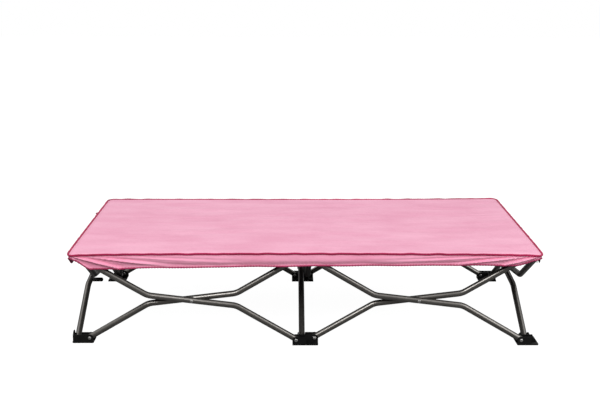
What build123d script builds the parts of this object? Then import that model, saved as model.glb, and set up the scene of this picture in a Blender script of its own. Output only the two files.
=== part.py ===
"""Folding cot: six bent-tube scissors on six feet and six hubs, with a fabric top.

Millimetres, +Z up.  X runs along the cot, Y across it; the front is -Y and the floor is Z = 0.
The cot is the same after half a turn about Z, so a back piece is its front partner turned.
"""
import os
from collections import namedtuple
from math import atan2, degrees

from build123d import *

# ---- scissors ------------------------------------------------------------------------------
REACH = 545.0        # level distance between the two end pins of a tube, cot open
RISE = 214.0         # height between the same two pins
FOOT_PIN_Z = 14.0    # end pins in the feet
HUB_TOP_UP = 17.5    # hub's top face above its end pins
SIDE_PIN = 24.5      # long-side pins, from the middle of their foot or hub
CROSS_PIN = 18.0     # pins of the crossing tubes, inward from the long-side plane
TUBE_SPLIT = 9.0     # each tube of a crossing pair, from the pair's middle plane

SPAN = REACH + 2 * SIDE_PIN          # foot to foot along the cot
HALF_WIDTH = REACH / 2 + CROSS_PIN   # long-side plane from the centre line
HUB_PIN_Z = FOOT_PIN_Z + RISE
MID_Z = FOOT_PIN_Z + RISE / 2
HUB_TOP = HUB_PIN_Z + HUB_TOP_UP

# ---- tube ----------------------------------------------------------------------------------
TUBE_R = 8.0
TUBE_WALL = 1.2
TUBE_TIP = 6.5       # tube past the end pin
BEND_U = 115.5       # bends, along and up from the middle pivot
BEND_V = 14.0
BEND_RADIUS = 50.0

# ---- pins ----------------------------------------------------------------------------------
PIN_R = 3.0
PIN_PLAY = 0.08      # running clearance, on the radius
FACE_PLAY = 0.05
HEAD_R = 4.4
HEAD_H = 2.2
EASE = 0.8           # a rounded end's edge radius, as a share of its size
COLLAR_R = 6.0

# ---- feet and hubs -------------------------------------------------------------------------
# A hub is built like a foot, shallower and upside down, without the flared toe of a corner foot.
# The shoulder is the height of a cheek or an ear at its outer end, the heel the plate's reach
# inward of the leg's pin, and the post how much taller the outer ear is on the foot that has one.
Moulding = namedtuple(
    "Moulding", "pin_z plate boss_r shoulder cheek_top ear_top post toe heel heel_top")
FOOT = Moulding(pin_z=FOOT_PIN_Z, plate=3.4, boss_r=9.5, shoulder=23.0, cheek_top=23.0, ear_top=23.5,
                post=7.0, toe=22.0, heel=24.0, heel_top=8.0)
HUB = Moulding(pin_z=HUB_TOP_UP, plate=3.4, boss_r=8.5, shoulder=6.0, cheek_top=24.5, ear_top=26.0,
               post=0.0, toe=0.0, heel=8.5, heel_top=HUB_TOP_UP)
CHEEK_IN = 8.4       # inner face of a cheek or an ear, from the tube's plane
CHEEK_OUT = 10.9     # their outer face
CHEEK_T = CHEEK_OUT - CHEEK_IN
SLOPE_AT = 0.6       # the bosses' sloping edges start this far from the pin, in boss radii
EAR_SLOPE = 4.0      # drop of an ear's top toward the heel
HEEL_WALL = 3.0
SWING_R = 12.0       # room round a long-side pin for the tube's end to turn
PLATE_CORNER_R = 4.0
RIB = 1.2
RIB_WIDTH = 1.6
RIB_STEP = 5.5

# ---- stop pegs -----------------------------------------------------------------------------
PEG_R = 5.75
PEG_LENGTH = 28.0
PEG_AT = 84.0        # along the tube from its middle pivot, level

# ---- fabric --------------------------------------------------------------------------------
SLING_X = 611.0      # half length and half width of the taut top
SLING_Y = 309.0
SLING_T = 2.4        # canvas with the sheet's top on it
RIM_X = 37.0         # fabric that stays with a hub, from its middle along the cot
RIM_Y = 262.0        # inner edge of the long rims
SEAM = 0.3           # half the line between two fabric pieces
SKIRT_T = 1.2
SKIRT_X = 615.5      # outer faces of the skirt
SKIRT_Y = 314.6
SKIRT_TOP = HUB_TOP + 3.6
SKIRT_HEM = 213.0
CORNER_R = 14.0

COLUMNS = {"left": -1, "centre": 0, "right": 1}
CELLS = {"left": -1, "right": 1}
SIDES = {"front": -1, "back": 1}

parts = {}


def half_turn(shape):
    """The same piece on the other side of the cot."""
    return Rot(0, 0, 180) * shape


def rod(centre, axis, radius, low, high):
    """Round bar along X or Y through a point, from low to high of that point."""
    x, y, z = centre
    if axis == "x":
        return Pos(x + (low + high) / 2, y, z) * Rot(0, 90, 0) * Cylinder(radius, high - low)
    return Pos(x, y + (low + high) / 2, z) * Rot(90, 0, 0) * Cylinder(radius, high - low)


def dome(centre, axis, at, outward, radius=HEAD_R, height=HEAD_H):
    """Rivet head on a face at a distance from the centre."""
    head = Cylinder(radius, height, align=(Align.CENTER, Align.CENTER, Align.MIN))
    head = fillet(head.edges().group_by(Axis.Z)[-1], height * EASE)
    tilt = Rot(0, 90 * outward, 0) if axis == "x" else Rot(-90 * outward, 0, 0)
    offset = Pos(at, 0, 0) if axis == "x" else Pos(0, at, 0)
    return Pos(*centre) * offset * tilt * head


# ---- tubes ---------------------------------------------------------------------------------
def bent_tube():
    """A tube that rises toward +X in the XZ plane, its middle pivot at the origin."""
    end = Vector(REACH / 2, 0, RISE / 2)
    bend = Vector(BEND_U, 0, BEND_V)
    tip = end + (end - bend).normalized() * TUBE_TIP
    path = FilletPolyline(-tip, -bend, bend, tip, radius=BEND_RADIUS)
    section = Plane(origin=path @ 0, z_dir=path % 0)
    tube = sweep(section * (Circle(TUBE_R) - Circle(TUBE_R - TUBE_WALL)), path=path)
    for pin in (-end, Vector(0, 0, 0), end):
        tube -= rod((pin.X, pin.Y, pin.Z), "y", PIN_R + PIN_PLAY, -2 * TUBE_R, 2 * TUBE_R)
    return tube


RISING = bent_tube()                    # up toward +X
FALLING = Rot(0, 0, 180) * RISING       # up toward -X
for cell, c in CELLS.items():
    front_rise = Pos(c * SPAN / 2, -HALF_WIDTH + TUBE_SPLIT, MID_Z) * RISING
    front_fall = Pos(c * SPAN / 2, -HALF_WIDTH - TUBE_SPLIT, MID_Z) * FALLING
    back_rise = Pos(c * SPAN / 2, HALF_WIDTH + TUBE_SPLIT, MID_Z) * RISING
    back_fall = Pos(c * SPAN / 2, HALF_WIDTH - TUBE_SPLIT, MID_Z) * FALLING
    parts[f"tube_front_{cell}_rise"] = front_rise
    parts[f"tube_front_{cell}_fall"] = front_fall
    parts[f"tube_back_{cell}_rise"] = back_rise
    parts[f"tube_back_{cell}_fall"] = back_fall


for column, c in COLUMNS.items():
    rise = Pos(c * SPAN - TUBE_SPLIT, 0, MID_Z) * Rot(0, 0, 90) * RISING
    fall = Pos(c * SPAN + TUBE_SPLIT, 0, MID_Z) * Rot(0, 0, -90) * RISING
    parts[f"tube_cross_{column}_rise"] = rise
    parts[f"tube_cross_{column}_fall"] = fall


# ---- middle pivots: a shouldered rivet through both tubes of a pair -------------------------
def middle_pivot(axis):
    """Rivet about the origin; its collar fills the space between the two tubes."""
    face = TUBE_SPLIT + TUBE_R
    gap = TUBE_SPLIT - TUBE_R
    origin = (0, 0, 0)
    pivot = rod(origin, axis, PIN_R, -face - HEAD_H / 2, face + HEAD_H / 2)
    pivot += rod(origin, axis, COLLAR_R, -gap + FACE_PLAY, gap - FACE_PLAY)
    pivot += dome(origin, axis, face + FACE_PLAY, 1)
    pivot += dome(origin, axis, -face - FACE_PLAY, -1)
    return pivot


for cell, c in CELLS.items():
    for side, s in SIDES.items():
        parts[f"pivot_{side}_{cell}"] = Pos(c * SPAN / 2, s * HALF_WIDTH, MID_Z) * middle_pivot("y")
for column, c in COLUMNS.items():
    parts[f"pivot_cross_{column}"] = Pos(c * SPAN, 0, MID_Z) * middle_pivot("x")


# ---- feet ----------------------------------------------------------------------------------
def wall_xz(outline, y_low, y_high):
    """Upright wall with an XZ outline."""
    face = Plane.XZ * make_face(Polyline(*outline, close=True))
    return Pos(0, y_high, 0) * extrude(face, amount=y_high - y_low)


def wall_yz(outline, x_low, x_high):
    """Upright wall with a YZ outline."""
    face = Plane.YZ * make_face(Polyline(*outline, close=True))
    return Pos(x_low, 0, 0) * extrude(face, amount=x_high - x_low)


def side_pins(c):
    """Long-side end pins of a front foot: (x, y of the tube's plane)."""
    pins = []
    if c > -1:
        pins.append((c * SPAN - SIDE_PIN, -HALF_WIDTH - TUBE_SPLIT))
    if c < 1:
        pins.append((c * SPAN + SIDE_PIN, -HALF_WIDTH + TUBE_SPLIT))
    return pins


def cross_pin(c):
    """End pin of the crossing tube of a front foot: (x of the tube's plane, y)."""
    return c * SPAN - TUBE_SPLIT, -HALF_WIDTH + CROSS_PIN


def moulding(c, m):
    """Plate, a pair of cheeks round each long-side tube, a pair of ears round the leg."""
    leg_x, leg_y = cross_pin(c)
    pins = side_pins(c)
    ear_low, ear_high = leg_x - CHEEK_OUT, leg_x + CHEEK_OUT
    toe = c * (SPAN + m.toe)
    x_ends = [x + k * m.boss_r for x, _ in pins for k in (-1, 1)] + [ear_low, ear_high]
    x_ends += [toe] if c and m.toe else []
    front = min(y for _, y in pins) - CHEEK_OUT
    back = leg_y + m.heel
    x_low, x_high = min(x_ends), max(x_ends)
    plate = Pos((x_low + x_high) / 2, (front + back) / 2, m.plate / 2) * Box(
        x_high - x_low, back - front, m.plate)
    body = fillet(plate.edges().filter_by(Axis.Z), PLATE_CORNER_R)

    wall = max(y for _, y in pins if y < leg_y - CHEEK_IN)
    wall += CHEEK_OUT if len(pins) == 1 and c > 0 else -CHEEK_IN
    for x, y in pins:
        inward = 1 if x > c * SPAN else -1           # toward the cell the tube serves
        far_ear, near_ear = (ear_low, ear_high) if inward > 0 else (ear_high, ear_low)
        for low, high in ((y - CHEEK_OUT, y - CHEEK_IN), (y + CHEEK_IN, y + CHEEK_OUT)):
            start = near_ear if high > wall + PLATE_CORNER_R else far_ear
            tip = x + inward * m.boss_r
            outline = [(start, 0), (tip, 0), (tip, m.pin_z), (x, m.pin_z + m.boss_r * SLOPE_AT),
                       (x, m.cheek_top), (start, m.shoulder)]
            body += wall_xz(outline, low, high)
            body += rod((x, 0, m.pin_z), "y", m.boss_r, low, high)

    ear_front = wall - CHEEK_T / 2
    for low, high in ((ear_low, leg_x - CHEEK_IN), (leg_x + CHEEK_IN, ear_high)):
        top = m.ear_top + (m.post if c < 0 and low == ear_low else 0)
        ear = [(ear_front, 0), (back, 0), (back, m.heel_top),
               (leg_y + m.boss_r * SLOPE_AT, m.ear_top - EAR_SLOPE), (leg_y, top),
               ((leg_y + ear_front) / 2, top), (ear_front, m.shoulder)]
        body += wall_yz(ear, low, high)
    if m.heel > m.boss_r:
        heel = [(x_low, 0), (x_high, 0), (x_high - HEEL_WALL, m.heel_top),
                (x_low + HEEL_WALL, m.heel_top)]
        body += wall_xz(heel, back - HEEL_WALL, back)
    flank = ear_low if c < 0 else ear_high
    if m.toe and c * (toe - flank) > PLATE_CORNER_R:
        root = flank - c * CHEEK_T / 2
        gusset = [(root, 0), (toe, 0), (toe, m.plate), (flank, m.cheek_top), (root, m.cheek_top)]
        body += wall_xz(gusset, wall - CHEEK_T, wall)
    rib_y = wall - CHEEK_T - RIB / 2
    for k in (-1, 0, 1):
        body += Pos(leg_x + k * RIB_STEP, rib_y, m.cheek_top / 2) * Box(RIB_WIDTH, RIB, m.cheek_top)

    swing = m.ear_top + TUBE_TIP - m.plate
    for x, y in pins:
        body -= Pos(x, y, m.plate + swing / 2) * Box(2 * SWING_R, 2 * CHEEK_IN, swing)
        body -= rod((x, y, m.pin_z), "y", PIN_R, -SWING_R, SWING_R)
    body -= rod((leg_x, leg_y, m.pin_z), "x", PIN_R, -SWING_R, SWING_R)
    return body


def foot_rivets(c):
    """Rivets of a front foot; the leg's ends flush where a cheek meets the ear."""
    leg_x, leg_y = cross_pin(c)
    rivets = []
    places = [((x, y, FOOT_PIN_Z), "y", (-1, 1)) for x, y in side_pins(c)]
    places.append(((leg_x, leg_y, FOOT_PIN_Z), "x", (-1,) if c < 1 else (-1, 1)))
    for centre, axis, heads in places:
        rivet = rod(centre, axis, PIN_R, -CHEEK_OUT, CHEEK_OUT)
        for outward in heads:
            rivet += dome(centre, axis, outward * CHEEK_OUT, outward)
        rivets.append(rivet)
    return Compound(children=rivets)


def back_hub(c):
    """Its pins are moulded in."""
    leg_x, leg_y = cross_pin(c)
    hub = moulding(c, HUB)
    for x, y in side_pins(c):
        hub += rod((x, y, HUB.pin_z), "y", PIN_R, -CHEEK_OUT, CHEEK_OUT)
    hub += rod((leg_x, leg_y, HUB.pin_z), "x", PIN_R, -CHEEK_OUT, CHEEK_OUT)
    return Pos(0, 0, HUB_TOP) * Rot(180, 0, 0) * hub


COLUMN_NAME = {c: name for name, c in COLUMNS.items()}
for column, c in COLUMNS.items():
    opposite = COLUMN_NAME[-c]
    parts[f"foot_front_{column}"] = moulding(c, FOOT)
    parts[f"foot_back_{opposite}"] = half_turn(moulding(c, FOOT))
    parts[f"rivets_front_{column}"] = foot_rivets(c)
    parts[f"rivets_back_{opposite}"] = half_turn(foot_rivets(c))
    parts[f"hub_back_{column}"] = back_hub(c)
    parts[f"hub_front_{opposite}"] = half_turn(back_hub(c))


# ---- stop pegs: one on each end pair, under the other tube ----------------------------------
tube_x = -SPAN - TUBE_SPLIT
slope = atan2(BEND_V, BEND_U)
peg = rod((tube_x, -PEG_AT, MID_Z - PEG_AT * BEND_V / BEND_U), "x", PEG_R, 0, TUBE_R + PEG_LENGTH)
peg = fillet(peg.edges().group_by(Axis.X)[-1], PEG_R * EASE)
peg -= Pos(tube_x, 0, MID_Z) * Rot(degrees(slope), 0, 0) * Rot(90, 0, 0) * Cylinder(TUBE_R, SPAN / 2)
parts["peg_left"] = peg
parts["peg_right"] = half_turn(peg)


# ---- sling: rims that stay with the hubs, and four flaps in each cell -----------------------
def cloth(outline):
    """Flat piece of the sling, lying on the hubs."""
    face = offset(make_face(Polyline(*outline, close=True)), -SEAM, kind=Kind.INTERSECTION)
    return Pos(0, 0, HUB_TOP) * extrude(face, amount=SLING_T)


def strip(x_low, x_high, y_low, y_high):
    return cloth([(x_low, y_low), (x_high, y_low), (x_high, y_high), (x_low, y_high)])


outer_x = SPAN - RIM_X
parts["sling_rim_front"] = strip(-SLING_X, SLING_X, -SLING_Y, -RIM_Y)
parts["sling_rim_back"] = half_turn(parts["sling_rim_front"])
parts["sling_rim_left"] = strip(-SLING_X, -outer_x, -RIM_Y, RIM_Y)
parts["sling_rim_right"] = half_turn(parts["sling_rim_left"])
parts["sling_rim_middle"] = strip(-RIM_X, RIM_X, -RIM_Y, RIM_Y)

for cell, c in CELLS.items():
    outer, inner, apex = c * outer_x, c * RIM_X, (c * SPAN / 2, 0)
    for side, s in SIDES.items():
        parts[f"sling_{cell}_{side}"] = cloth([(outer, s * RIM_Y), (inner, s * RIM_Y), apex])
    parts[f"sling_{cell}_outer"] = cloth([(outer, -RIM_Y), (outer, RIM_Y), apex])
    parts[f"sling_{cell}_inner"] = cloth([(inner, -RIM_Y), (inner, RIM_Y), apex])


# ---- skirt of the fitted sheet: a hanging wall with a lip over the sling's edge --------------
def ring(inset, z_low, z_high):
    outer = RectangleRounded(2 * SKIRT_X, 2 * SKIRT_Y, CORNER_R)
    inner = offset(outer, -inset)
    return Pos(0, 0, z_low) * extrude(outer - inner, amount=z_high - z_low)


LIP = 12.0
skirt = ring(SKIRT_T, SKIRT_HEM, SKIRT_TOP) + ring(LIP, HUB_TOP + SLING_T, SKIRT_TOP)
along = 2 * (SKIRT_Y - CORNER_R) - 2 * SEAM
ends = Pos(0, 0, SKIRT_TOP) * Box(4 * SPAN, along, 4 * SKIRT_TOP)
front_half = Pos(0, -SKIRT_Y, 0) * Box(4 * SPAN, 2 * SKIRT_Y, 4 * SKIRT_TOP)
left_half = Pos(-SPAN, 0, 0) * Box(2 * SPAN, 4 * SKIRT_Y, 4 * SKIRT_TOP)
middle = Box(4 * SPAN, along + 2 * SEAM, 4 * SKIRT_TOP)
parts["skirt_front"] = (skirt & front_half) - middle
parts["skirt_back"] = half_turn(parts["skirt_front"])
parts["skirt_left"] = skirt & left_half & ends
parts["skirt_right"] = half_turn(parts["skirt_left"])


os.makedirs("parts", exist_ok=True)
for name, shape in parts.items():
    shape.label = name
    export_step(shape, f"parts/{name}.step")
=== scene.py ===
import math
from collections import namedtuple

import bpy
import numpy as np
from mathutils import Euler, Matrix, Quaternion, Vector


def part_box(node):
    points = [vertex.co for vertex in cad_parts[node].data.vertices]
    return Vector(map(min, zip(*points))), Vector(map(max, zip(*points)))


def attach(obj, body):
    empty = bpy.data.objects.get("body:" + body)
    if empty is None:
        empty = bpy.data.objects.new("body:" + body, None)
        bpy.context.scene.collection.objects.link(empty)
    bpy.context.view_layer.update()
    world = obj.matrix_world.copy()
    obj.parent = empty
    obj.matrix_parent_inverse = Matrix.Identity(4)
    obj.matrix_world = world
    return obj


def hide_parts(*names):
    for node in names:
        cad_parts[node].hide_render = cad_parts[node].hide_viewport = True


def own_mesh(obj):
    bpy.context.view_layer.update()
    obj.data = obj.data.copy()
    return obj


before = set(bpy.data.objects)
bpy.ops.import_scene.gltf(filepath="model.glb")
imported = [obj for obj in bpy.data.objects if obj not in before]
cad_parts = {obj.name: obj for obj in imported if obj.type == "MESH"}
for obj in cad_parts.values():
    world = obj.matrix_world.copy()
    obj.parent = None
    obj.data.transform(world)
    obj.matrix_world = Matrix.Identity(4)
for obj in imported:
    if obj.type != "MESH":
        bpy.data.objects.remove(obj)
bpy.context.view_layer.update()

# ---- the cot's own sizes, in metres ----------------------------------------------------------
REACH, RISE = 0.545, 0.214   # from one end pin of a tube to the other, cot open
SIDE_PIN, CROSS_PIN = 0.0245, 0.018
SPAN = REACH + 2 * SIDE_PIN  # foot to foot along the cot
HALF_W = REACH / 2 + CROSS_PIN
RIM_X = 0.037                # half width of the cloth that stays over the middle hubs
OUTER_X = SPAN - RIM_X       # inner edge of the end rims
RIM_Y = 0.262                # inner edge of the long rims
EDGE_X, EDGE_Y = 0.6135, 0.3125
CORNER_R = 0.020
HUB_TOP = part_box("hub_front_centre")[1][2]
TOP_Z = HUB_TOP + 0.0045     # upper face of the fitted sheet
CANVAS_Z = HUB_TOP + 0.0006  # lower face of the sling
CANVAS_X, CANVAS_Y = 0.606, 0.306


# ---- small tools ------------------------------------------------------------------------------
def smooth(a, b, x):
    t = np.clip((x - a) / (b - a), 0, 1)
    return t * t * (3 - 2 * t)


def waves(x, y, seed, count, low, high, stretch=1.0):
    """Sum of random plane waves from low to high long, longer along x by stretch; about -1 to 1."""
    r = np.random.RandomState(seed)
    total = np.zeros_like(x)
    for _ in range(count):
        size, turn, phase = r.uniform(low, high), r.uniform(-0.5, 0.5), r.uniform(0, 2 * np.pi)
        total += np.sin(2 * np.pi * (np.cos(turn) * y + np.sin(turn) * x / stretch) / size + phase)
    return total / count ** 0.5 / 1.4


def new_object(name, points, faces, materials, face_material=None, smooth_shade=True):
    name = name.replace(" ", "_")
    mesh = bpy.data.meshes.new(name)
    mesh.from_pydata([tuple(p) for p in points], [], faces)
    mesh.update()
    obj = bpy.data.objects.new(name, mesh)
    bpy.context.scene.collection.objects.link(obj)
    for m in materials:
        mesh.materials.append(m)
    mesh.polygons.foreach_set("use_smooth", [smooth_shade] * len(mesh.polygons))
    if face_material is not None:
        mesh.polygons.foreach_set("material_index", face_material)
    mesh.update()
    return obj


def grid_faces(rows, columns, start=0, flip=False):
    out = []
    for i in range(rows - 1):
        for j in range(columns - 1):
            a = start + i * columns + j
            f = (a, a + 1, a + columns + 1, a + columns)
            out.append(f[::-1] if flip else f)
    return out


def tube_faces(rings, sides):
    """Quads between rings of points that follow one another along a roll."""
    steps = [(i * sides, (i + 1) * sides, j, (j + 1) % sides) for i in range(rings - 1) for j in range(sides)]
    return [(a + j, a + k, b + k, b + j) for a, b, j, k in steps]


# ---- materials --------------------------------------------------------------------------------
class Nodes:
    """A procedural material with a principled shader."""

    def __init__(self, name):
        self.material = bpy.data.materials.new(name)
        self.material.use_nodes = True
        self.tree = self.material.node_tree
        self.shader = self.tree.nodes["Principled BSDF"]
        self.coords = self.add("ShaderNodeTexCoord").outputs["Object"]

    def add(self, kind, **values):
        node = self.tree.nodes.new(kind)
        for key, value in values.items():
            setattr(node, key, value)
        return node

    def link(self, a, b):
        self.tree.links.new(a, b)

    def set(self, **values):
        for key, value in values.items():
            self.shader.inputs[key.replace("_", " ")].default_value = value

    def noise(self, scale, detail=4.0, rough=0.5, stretch=(1, 1, 1)):
        mapping = self.add("ShaderNodeMapping")
        mapping.inputs["Scale"].default_value = stretch
        self.link(self.coords, mapping.inputs["Vector"])
        n = self.add("ShaderNodeTexNoise")
        n.inputs["Scale"].default_value = scale
        n.inputs["Detail"].default_value = detail
        n.inputs["Roughness"].default_value = rough
        self.link(mapping.outputs[0], n.inputs["Vector"])
        return n.outputs["Fac"]

    def wave(self, scale, direction):
        w = self.add("ShaderNodeTexWave", wave_type="BANDS", bands_direction=direction)
        w.inputs["Scale"].default_value = scale
        w.inputs["Distortion"].default_value = 0.6
        w.inputs["Detail"].default_value = 1.0
        self.link(self.coords, w.inputs["Vector"])
        return w.outputs["Fac"]

    def ramp(self, fac, low, high, at=(0.3, 0.7)):
        r = self.add("ShaderNodeValToRGB")
        r.color_ramp.elements[0].position, r.color_ramp.elements[1].position = at
        r.color_ramp.elements[0].color = (*low, 1)
        r.color_ramp.elements[1].color = (*high, 1)
        self.link(fac, r.inputs["Fac"])
        return r.outputs["Color"]

    def range(self, fac, low, high):
        m = self.add("ShaderNodeMapRange")
        m.inputs["To Min"].default_value, m.inputs["To Max"].default_value = low, high
        self.link(fac, m.inputs["Value"])
        return m.outputs["Result"]

    def math(self, op, a, b):
        m = self.add("ShaderNodeMath", operation=op)
        for socket, value in zip(m.inputs, (a, b)):
            if isinstance(value, (int, float)):
                socket.default_value = value
            else:
                self.link(value, socket)
        return m.outputs[0]

    def bump(self, height, distance, strength, under=None):
        b = self.add("ShaderNodeBump")
        b.inputs["Distance"].default_value = distance
        b.inputs["Strength"].default_value = strength
        self.link(height, b.inputs["Height"])
        if under is not None:
            self.link(under, b.inputs["Normal"])
        return b.outputs["Normal"]


def cloth_material(name, light, dark, thread=0.0009, sheen=0.1):
    """Plain weave: threads crossed at a pitch in metres, under a soft mottle."""
    n = Nodes(name)
    mottle = n.noise(9.0, 5.0, 0.6, (0.6, 1.6, 1.0))
    fine = n.noise(160.0, 3.0, 0.6)
    blend = n.math("ADD", n.math("MULTIPLY", mottle, 0.75), n.math("MULTIPLY", fine, 0.25))
    n.link(n.ramp(blend, dark, light, (0.38, 0.62)), n.shader.inputs["Base Color"])
    n.link(n.range(fine, 0.78, 0.95), n.shader.inputs["Roughness"])
    threads = 1 / thread / (2 * math.pi)
    weave = n.math("MAXIMUM", n.wave(threads, "X"), n.wave(threads, "Y"))
    rumple = n.bump(n.noise(38.0, 4.0, 0.55, (0.5, 1.5, 1.0)), 0.0035, 0.55)
    n.link(n.bump(weave, 0.0001, 0.6, rumple), n.shader.inputs["Normal"])
    n.set(Sheen_Weight=sheen, Sheen_Roughness=0.5, Specular_IOR_Level=0.2)
    return n.material


def tube_material():
    """Dark grey satin paint over steel, a little uneven, scuffed here and there."""
    n = Nodes("tube paint")
    flow, scuff = n.noise(14.0, 4.0), n.noise(120.0, 6.0, 0.7)
    n.link(n.ramp(n.math("ADD", n.math("MULTIPLY", flow, 0.6), n.math("MULTIPLY", scuff, 0.4)),
                  (0.135, 0.126, 0.116), (0.205, 0.194, 0.180), (0.35, 0.7)), n.shader.inputs["Base Color"])
    n.link(n.range(scuff, 0.24, 0.38), n.shader.inputs["Roughness"])
    n.link(n.bump(n.noise(420.0, 2.0), 0.00012, 0.5), n.shader.inputs["Normal"])
    n.set(Metallic=0.85, Coat_Weight=0.4, Coat_Roughness=0.12)
    return n.material


def plastic_material():
    """Black moulded plastic with a spark-eroded grain."""
    n = Nodes("black plastic")
    n.link(n.ramp(n.noise(40.0, 4.0), (0.003, 0.003, 0.0033), (0.008, 0.0078, 0.0075)),
           n.shader.inputs["Base Color"])
    n.link(n.range(n.noise(60.0, 4.0), 0.42, 0.58), n.shader.inputs["Roughness"])
    n.link(n.bump(n.noise(900.0, 2.0), 0.00015, 0.7), n.shader.inputs["Normal"])
    n.set(Specular_IOR_Level=0.22)
    return n.material


def rivet_material():
    """Zinc-plated rivet, finely turned and slightly dulled."""
    n = Nodes("rivet zinc")
    dull = n.noise(300.0, 5.0, 0.65)
    n.link(n.ramp(dull, (0.42, 0.41, 0.40), (0.66, 0.655, 0.64)), n.shader.inputs["Base Color"])
    n.link(n.range(dull, 0.22, 0.42), n.shader.inputs["Roughness"])
    n.link(n.bump(n.noise(1500.0, 2.0), 0.00005, 0.6), n.shader.inputs["Normal"])
    n.set(Metallic=1.0)
    return n.material


FINE_THREAD, COARSE_THREAD = 0.0007, 0.0011
# Top and skirt are one fabric; their two colours are painted light: the top's pink is paler and dimmer, toned
# for the overhead light on it, and the skirt's is a deeper pink for its less lit sides.
SHEET = cloth_material("sheet pink", (0.755, 0.380, 0.500), (0.690, 0.305, 0.425), sheen=0.06)
SKIRT = cloth_material("skirt pink", (0.965, 0.415, 0.575), (0.92, 0.330, 0.490))
PIPING = cloth_material("piping crimson", (0.42, 0.018, 0.085), (0.28, 0.010, 0.050), FINE_THREAD)
HEM = cloth_material("elastic hem", (0.46, 0.060, 0.15), (0.32, 0.032, 0.09), FINE_THREAD)
CANVAS = cloth_material("sling canvas", (0.040, 0.036, 0.038), (0.022, 0.020, 0.022), COARSE_THREAD)
TUBE, PLASTIC, RIVET = tube_material(), plastic_material(), rivet_material()

for name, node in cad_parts.items():
    if name.startswith("tube"):
        finish = TUBE
    elif name.startswith(("foot", "hub", "peg")):
        finish = PLASTIC
    elif name.startswith(("rivets", "pivot")):
        finish = RIVET
    else:
        continue
    node.data.materials.clear()
    node.data.materials.append(finish)


# ---- the sheet's top, with the sling under it --------------------------------------------------
SAG = 0.0035                    # how far the cloth hangs in the middle of each half
FRONT_BOW = 0.0035              # how far the front edge rises in its middle
BACK_LIFT = 0.0033              # how far the back edge stands above the front's ends
RIGHT_LIFT = 0.004              # and how much its right end adds
RUMPLE, FINE_RUMPLE = 0.00055, 0.00030
RIDGE, RIDGE_AT, RIDGE_WIDTH = 0.0007, 0.016, 0.010   # soft ridge along the edge, inside the piping
EDGE_DROP, DROP_WIDTH = 0.0024, 0.012                 # the cloth turns down to the piping
CORNER_SINK, CORNER_TUCK = 0.0014, 0.0024             # front corners: drop over a wide and a short reach
LAYERS_APART = 0.002            # least distance from sheet to sling


def edge_y(x):
    """Half width of the top at x, round the corners."""
    over = np.clip(np.abs(x) - (EDGE_X - CORNER_R), 0, CORNER_R)
    return EDGE_Y - (CORNER_R - np.sqrt(np.maximum(CORNER_R ** 2 - over ** 2, 0)))


def corner_near(x, y, reach):
    """1 at a corner of the top, falling to 0 about reach away."""
    return np.exp(-(np.hypot(EDGE_X - np.abs(x), EDGE_Y - np.abs(y)) / reach) ** 2)


def top_z(x, y):
    """Height of the sheet's upper face."""
    inside = np.minimum(EDGE_X - np.abs(x), edge_y(x) - np.abs(y))
    u = np.clip((np.abs(x) - SPAN / 2) / (SPAN / 2), -1, 1)
    v = np.clip(y / HALF_W, -1, 1)
    z = TOP_Z - SAG * (1 - u ** 2) * (1 - v ** 2)
    front = np.clip(0.5 - y / (2 * EDGE_Y), 0, 1)
    z += FRONT_BOW * front * (1 - (x / EDGE_X) ** 2)
    z += (1 - front) * (BACK_LIFT + RIGHT_LIFT * np.clip(x / EDGE_X, 0, 1) ** 2)
    calm = smooth(0.0, 0.06, inside)
    z += RUMPLE * calm * waves(x, y, 3, 9, 0.045, 0.11, 2.6)
    z += FINE_RUMPLE * calm * waves(x, y, 8, 10, 0.012, 0.03, 3.5) * (0.3 + 0.7 * smooth(-0.1, 0.25, y))
    z += RIDGE * np.exp(-((inside - RIDGE_AT) / RIDGE_WIDTH) ** 2)
    z -= EDGE_DROP * (1 - smooth(0.0, DROP_WIDTH, inside))
    z -= front * (CORNER_SINK * corner_near(x, y, 0.075) + CORNER_TUCK * corner_near(x, y, 0.016))
    return z


def top_piece(name, x, y, body, replaced):
    """One piece of the top over the grids x and y: the sheet above, the sling's canvas under it."""
    rows, columns = x.shape
    e = 0.0004  # half the step that slopes are measured over
    z = top_z(x, y)
    slope_x = (top_z(x + e, y) - top_z(x - e, y)) / (2 * e)
    slope_y = (top_z(x, y + e) - top_z(x, y - e)) / (2 * e)
    normal = np.stack([-slope_x, -slope_y, np.ones_like(x)], -1).reshape(-1, 3)
    normal /= np.linalg.norm(normal, axis=1)[:, None]
    dip = (1 - ((np.abs(x) - SPAN / 2) / (SPAN / 2)) ** 2).clip(0) * (1 - (y / HALF_W) ** 2).clip(0)
    under = np.minimum(CANVAS_Z - SAG * dip, z - LAYERS_APART)
    inset = np.minimum(1.0, CANVAS_X / np.maximum(np.abs(x), 1e-9))
    upper = np.stack([x, y, z], -1).reshape(-1, 3)
    lower = np.stack([x * inset, np.clip(y, -CANVAS_Y, CANVAS_Y), under], -1).reshape(-1, 3)
    turned = (x[1, 0] - x[0, 0]) * (y[0, 1] - y[0, 0]) - (y[1, 0] - y[0, 0]) * (x[0, 1] - x[0, 0]) > 0
    faces = grid_faces(rows, columns, 0, turned)
    faces += grid_faces(rows, columns, rows * columns, not turned)
    layer = len(faces) // 2
    index = [0] * layer + [1] * layer
    place = np.arange(rows * columns).reshape(rows, columns)
    border = np.concatenate([place[0], place[1:, -1], place[-1, -2::-1], place[-2::-1, 0]])
    for a, b in zip(border[:-1], border[1:]):
        rim = (a, b, b + rows * columns, a + rows * columns)
        faces.append(tuple(int(i) for i in (rim if turned else rim[::-1])))
        index.append(1)
    obj = new_object(name, np.concatenate([upper, lower]), faces, [SHEET, CANVAS], index)
    down = np.tile([0.0, 0.0, -1.0], (len(lower), 1))
    obj.data.normals_split_custom_set_from_vertices(np.concatenate([normal, down]).tolist())
    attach(obj, body)
    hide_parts(*replaced)
    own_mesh(obj)


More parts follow.
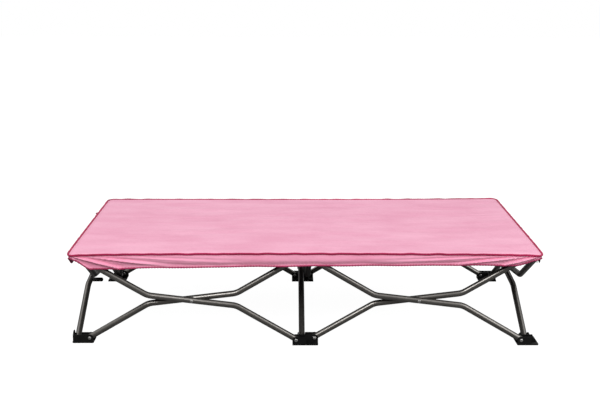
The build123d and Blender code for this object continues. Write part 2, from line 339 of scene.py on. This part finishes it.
def arc_samples(low, high, step):
    """Even steps, closer near the ends, where the cloth turns over its edge."""
    inner = np.linspace(low, high, int((high - low) / step) + 1)
    tight = [0.001, 0.0025, 0.0045, 0.0075, 0.011, 0.015]
    return np.unique(np.round(np.concatenate([inner, low + np.array(tight), high - np.array(tight)]), 6))


along = arc_samples(-EDGE_X, EDGE_X, 0.006)
# Places across a rim, from the edge at 1 to the hinge at 0.
cross_t = 1 - np.array([0, 0.02, 0.05, 0.09, 0.14, 0.2, 0.28, 0.37, 0.48, 0.6, 0.72, 0.86, 1.0])
for side, s, hub in (("front", -1, "hub_front_centre"), ("back", 1, "hub_back_centre")):
    x = np.tile(along, (len(cross_t), 1))
    y = s * (RIM_Y + (edge_y(x) - RIM_Y) * cross_t[:, None])
    top_piece(f"top rim {side}", x, y, hub, [f"sling_rim_{side}"])

across = np.linspace(-RIM_Y, RIM_Y, 97)
for end, s, hub, anchor in (("left", -1, "hub_front_left", -RIM_Y), ("right", 1, "hub_back_right", RIM_Y)):
    x = s * np.tile(OUTER_X + (EDGE_X - OUTER_X) * cross_t[:, None], (1, len(across)))
    y = np.tile(across, (len(cross_t), 1))
    top_piece(f"top rim {end}", x, y, hub, [f"sling_rim_{end}"])
x, y = np.meshgrid(np.linspace(-RIM_X, RIM_X, 13), across, indexing="ij")
top_piece("top rim middle", x, y, "hub_front_centre", ["sling_rim_middle"])

# Each flap is a triangle: k runs along its base on the hinge, t from the base almost to its tip.
STEPS, ROWS = 96, 48
t = np.linspace(0, 1 - 1e-5, ROWS + 1)[:, None]
k = np.linspace(-1, 1, STEPS + 1)[None, :]
half = (OUTER_X - RIM_X) / 2
for cell, c in (("left", -1), ("right", 1)):
    middle = c * SPAN / 2
    for side, s in (("front", -1), ("back", 1)):
        x, y = middle + half * k * (1 - t), s * RIM_Y * (1 - t) + 0 * k
        top_piece(f"top flap {cell} {side}", x, y, f"sling_{cell}_{side}", [f"sling_{cell}_{side}"])
    for place, s in (("outer", c), ("inner", -c)):
        x, y = middle + s * half * (1 - t) + 0 * k, RIM_Y * k * (1 - t)
        top_piece(f"top flap {cell} {place}", x, y, f"sling_{cell}_{place}", [f"sling_{cell}_{place}"])


# ---- skirt, piping and hem ----------------------------------------------------------------------
# One run of the top's outline: points, outward normals, distance to the nearest corner, place along
# the run, and the least distance of the skirt from the outline (negative is inward).
Edge = namedtuple("Edge", "points normals corner along least")
EDGE_STEP = 0.0022


def long_edge():
    """The front run: the straight and both corner arcs, from the left to the right."""
    straight = EDGE_X - CORNER_R
    arc = CORNER_R * math.pi / 2
    s = np.linspace(-straight - arc, straight + arc, round(2 * (straight + arc) / EDGE_STEP) + 1)
    a = np.clip((np.abs(s) - straight) / CORNER_R, 0, math.pi / 2)
    x = np.sign(s) * np.where(a > 0, straight + CORNER_R * np.sin(a), np.abs(s))
    y = -(EDGE_Y - CORNER_R) - CORNER_R * np.cos(a)
    n = np.stack([np.sign(s) * np.sin(a), -np.cos(a)], -1)
    return Edge(np.stack([x, y], -1), n, np.abs(np.abs(s) - straight - arc / 2), s, -0.0010)


def short_edge():
    """The left run, from back to front."""
    straight = EDGE_Y - CORNER_R
    s = np.linspace(-straight, straight, int(2 * straight / EDGE_STEP))
    pts = np.stack([np.full_like(s, -EDGE_X), -s], -1)
    n = np.tile([-1.0, 0.0], (len(s), 1))
    return Edge(pts, n, straight + CORNER_R * math.pi / 4 - np.abs(s), s, 0.0014)


CLOTH_THICKNESS = 0.0007
SKIRT_OUT = 0.0006           # the skirt starts this far outside the outline
FOLD_HEIGHT, FOLD_REACH = 0.0044, 0.26   # creases that fan out from the corners
SWAY = 0.0011
PUCKER, PUCKER_PITCH = 0.0011, 0.0082    # gathers at the elastic
BELLY, TUCK = 0.0026, 0.0034             # out in the middle of the depth, in at the hem
PIPING_R, HEM_R, BEAD_PITCH = 0.0027, 0.0021, 0.0075


def drape(edge, v, depth, seed):
    """Skirt point at depth fraction v: (outward offset, drop) along an edge."""
    drop = v * depth
    d = edge.corner + 0.006
    r = np.hypot(d, drop)
    fan = np.log2((d + 0.004) / (drop + 0.0035))
    folds = 1 - 2 * np.abs(np.sin(np.pi * fan * 0.95 + seed))
    folds += 0.4 * np.sin(2 * np.pi * fan * 1.7 + 1.9 * seed)
    strength = FOLD_HEIGHT * smooth(0.0, 0.03, r) * np.exp(-(d / FOLD_REACH) ** 2) * smooth(0.0, 0.35, v)
    out = folds * strength
    zero = np.zeros_like(d)
    out += SWAY * v * waves(zero, edge.along, 11 + seed, 7, 0.05, 0.17)
    loose = waves(zero, edge.along, 21 + seed, 5, 0.16, 0.4) + np.exp(-(d / 0.12) ** 2)
    gathered = 0.35 + 0.65 * np.clip(loose, 0, 1)
    uneven = waves(zero, edge.along, 31 + seed, 4, 0.03, 0.09)
    pucker = np.sin(2 * np.pi * edge.along / PUCKER_PITCH + 2.2 * uneven)
    out += PUCKER * gathered * pucker * smooth(0.45, 1.0, v)
    belly = BELLY * np.sin(np.pi * np.clip(v, 0, 1)) * smooth(0.01, 0.08, edge.corner)
    tuck = -TUCK * smooth(0.55, 1.0, v)
    return np.maximum(SKIRT_OUT + belly + tuck + out, edge.least), drop


CORNER_DEPTH = 0.008         # depth of the skirt at a corner
HEM_WANDER = 0.0012          # how far the hem strays up and down along a side
# How the hem runs down from each corner: over what length, and how steeply at first.
HEM_RISE = {"front left": (0.052, 0.85), "front right": (0.060, 0.50),
            "back left": (0.065, 0.8), "back right": (0.065, 0.8)}


def skirt_depth(edge, mean, slope, corners, seed):
    """Deep along the side, drawn up into each of the run's two corners."""
    deep = mean + slope * edge.along
    deep += HEM_WANDER * waves(np.zeros_like(edge.along), edge.along, 40 + seed, 5, 0.12, 0.4)
    reach, power = (np.where(edge.along < 0, *pair) for pair in zip(*(HEM_RISE[c] for c in corners)))
    share = edge.corner / reach
    return CORNER_DEPTH + (deep - CORNER_DEPTH) * smooth(-0.4, 1.0, share) * np.clip(share, 0, 1) ** power


def skirt_piece(name, edge, turn, mean, slope, corners, seed, body):
    """Skirt, piping and hem of one side; turn puts the run on the opposite side of the cot."""
    depth = skirt_depth(edge, mean, slope, corners, seed)
    sign = -1 if turn else 1
    level = top_z(sign * edge.points[:, 0], sign * edge.points[:, 1])
    layers = []
    for v in np.linspace(0, 1, 19):
        out, drop = drape(edge, v, depth, seed)
        p = edge.points + edge.normals * out[:, None]
        layers.append(np.column_stack([p, level - drop]))
    outer = np.stack(layers)
    if turn:
        outer[..., :2] *= -1
    rows, columns = outer.shape[:2]
    skirt = new_object(f"skirt {name}", outer.reshape(-1, 3), grid_faces(rows, columns, 0, True), [SKIRT])
    solid = skirt.modifiers.new("thickness", "SOLIDIFY")
    solid.thickness, solid.offset = CLOTH_THICKNESS, -1

    def roll(label, centre, radius, material, ripple, wander=0.0):
        """Round bead along centre; its radius ripples and it strays up and down by wander."""
        sides = 10
        tangent = np.gradient(centre, axis=0)
        tangent /= np.linalg.norm(tangent, axis=1)[:, None]
        up = np.array([0.0, 0.0, 1.0])
        side = np.cross(tangent, up)
        side /= np.linalg.norm(side, axis=1)[:, None]
        lift = np.cross(side, tangent)
        size = radius * (1 + ripple * np.sin(2 * np.pi * edge.along / BEAD_PITCH + seed))
        rise = wander * waves(np.zeros(len(centre)), edge.along, 51 + seed, 6, 0.03, 0.09)
        centre = centre + rise[:, None] * up
        a = 2 * np.pi * np.arange(sides) / sides
        spoke = np.cos(a)[None, :, None] * side[:, None] + np.sin(a)[None, :, None] * lift[:, None]
        pts = centre[:, None] + size[:, None, None] * spoke
        faces = tube_faces(len(centre), sides)
        faces += [tuple(range(sides))[::-1], tuple(len(pts) * sides - sides + j for j in range(sides))]
        return new_object(f"{label} {name}", pts.reshape(-1, 3), faces, [material])

    centre = np.column_stack([sign * (edge.points + edge.normals * 0.0012), level + 0.0004])
    piping = roll("piping", centre, PIPING_R, PIPING, 0.05, 0.0006)
    hem = roll("hem", outer[-1], HEM_R, HEM, 0.22)
    for piece in (skirt, piping, hem):
        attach(piece, body)
        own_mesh(piece)
    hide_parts(f"skirt_{name}")


LONG_EDGE, SHORT_EDGE = long_edge(), short_edge()
skirt_piece("front", LONG_EDGE, False, 0.0325, -0.0095, ("front left", "front right"), 1,
            "hub_front_centre")
skirt_piece("back", LONG_EDGE, True, 0.0325, -0.0060, ("back right", "back left"), 2,
            "hub_back_centre")
skirt_piece("left", SHORT_EDGE, False, 0.0340, 0.012, ("back left", "front left"), 3,
            "hub_front_left")
skirt_piece("right", SHORT_EDGE, True, 0.0315, 0.0155, ("front right", "back right"), 4,
            "hub_back_right")

# ---- the small tab sewn into the left edge --------------------------------------------------------
TAB_X, TAB_Y, TAB_Z = -EDGE_X - 0.0045, 0.142, TOP_Z - 0.0022
TAB_OUT, TAB_UP, TAB_HALF, TAB_ROWS = 0.0065, 0.0019, 0.0045, 7
turns = np.linspace(0, 2 * np.pi, 25)[:-1]
loop = [(TAB_X - TAB_OUT * math.cos(a), TAB_Z + TAB_UP * math.sin(a)) for a in turns]
pts = []
for i, w in enumerate(np.linspace(-TAB_HALF, TAB_HALF, TAB_ROWS)):
    pts += [(px + 0.0006 * math.sin(3 * i), TAB_Y + w, pz + 0.0003 * math.cos(2 * i)) for px, pz in loop]
tab = new_object("side tab", pts, tube_faces(TAB_ROWS, len(loop)), [PIPING])
tab.modifiers.new("thickness", "SOLIDIFY").thickness = CLOTH_THICKNESS
tab.modifiers.new("soft", "SUBSURF").render_levels = 1
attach(tab, "hub_front_left")
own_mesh(tab)

# ---- floor, light and camera -----------------------------------------------------------------------
white = Nodes("floor")
white.link(white.ramp(white.noise(3.0), (0.14, 0.14, 0.139), (0.16, 0.16, 0.159)),
           white.shader.inputs["Base Color"])
seen = white.add("ShaderNodeLightPath").outputs["Is Camera Ray"]
white.link(white.math("MULTIPLY", seen, 0.97), white.shader.inputs["Emission Strength"])
white.set(Roughness=0.9, Specular_IOR_Level=0.1, Emission_Color=(1, 1, 1, 1))
FLOOR = 12
floor = new_object("floor", [(-FLOOR, -FLOOR, 0), (FLOOR, -FLOOR, 0), (FLOOR, FLOOR, 0), (-FLOOR, FLOOR, 0)],
                   [(0, 1, 2, 3)], [white.material], None, False)
WALL_LIGHT, CEILING_LIGHT = 0.22, 1.25


def studio_world():
    """White behind the cot; for its light, a soft ceiling over darker walls."""
    world = bpy.data.worlds.new("studio")
    world.use_nodes = True
    nodes, links = world.node_tree.nodes, world.node_tree.links
    split = nodes.new("ShaderNodeSeparateXYZ")
    links.new(nodes.new("ShaderNodeTexCoord").outputs["Generated"], split.inputs[0])
    ceiling = nodes.new("ShaderNodeMapRange")
    ceiling.interpolation_type = "SMOOTHSTEP"
    limits = {"From Min": 0.25, "From Max": 0.9, "To Min": WALL_LIGHT, "To Max": CEILING_LIGHT}
    for socket, value in limits.items():
        ceiling.inputs[socket].default_value = value
    links.new(split.outputs["Z"], ceiling.inputs["Value"])
    choose = nodes.new("ShaderNodeMix")
    choose.inputs["B"].default_value = 1.0
    links.new(nodes.new("ShaderNodeLightPath").outputs["Is Camera Ray"], choose.inputs["Factor"])
    links.new(ceiling.outputs["Result"], choose.inputs["A"])
    back = nodes["Background"]
    back.inputs["Color"].default_value = (1, 1, 1, 1)
    links.new(choose.outputs["Result"], back.inputs["Strength"])
    bpy.context.scene.world = world


studio_world()


def area_light(name, place, size, power):
    """Square light aimed at the middle of the cot."""
    light = bpy.data.lights.new(name, "AREA")
    light.energy, light.size = power, size
    obj = bpy.data.objects.new(name, light)
    bpy.context.scene.collection.objects.link(obj)
    obj.location = place
    obj.rotation_mode = "QUATERNION"
    obj.rotation_quaternion = (Vector((0, 0, 0.15)) - Vector(place)).to_track_quat("-Z", "Y")


area_light("key", (-1.2, -2.6, 2.4), 1.2, 52)
area_light("fill", (2.4, -1.8, 1.6), 1.6, 30)

DOWN, RIGHT, ROLL = 0.2306, 0.011, 0.0035   # the camera's turns, in radians
camera = bpy.data.objects.new("camera", bpy.data.cameras.new("camera"))
bpy.context.scene.collection.objects.link(camera)
camera.location = (-0.0428, -2.8083, 0.9623)
camera.rotation_mode = "QUATERNION"
aim = Euler((math.pi / 2 - DOWN, 0, -RIGHT)).to_quaternion()
camera.rotation_quaternion = aim @ Quaternion((0, 0, 1), ROLL)
camera.data.lens, camera.data.sensor_width = 60.44, 36
bpy.context.scene.camera = camera
bpy.context.scene.view_settings.view_transform = "Standard"
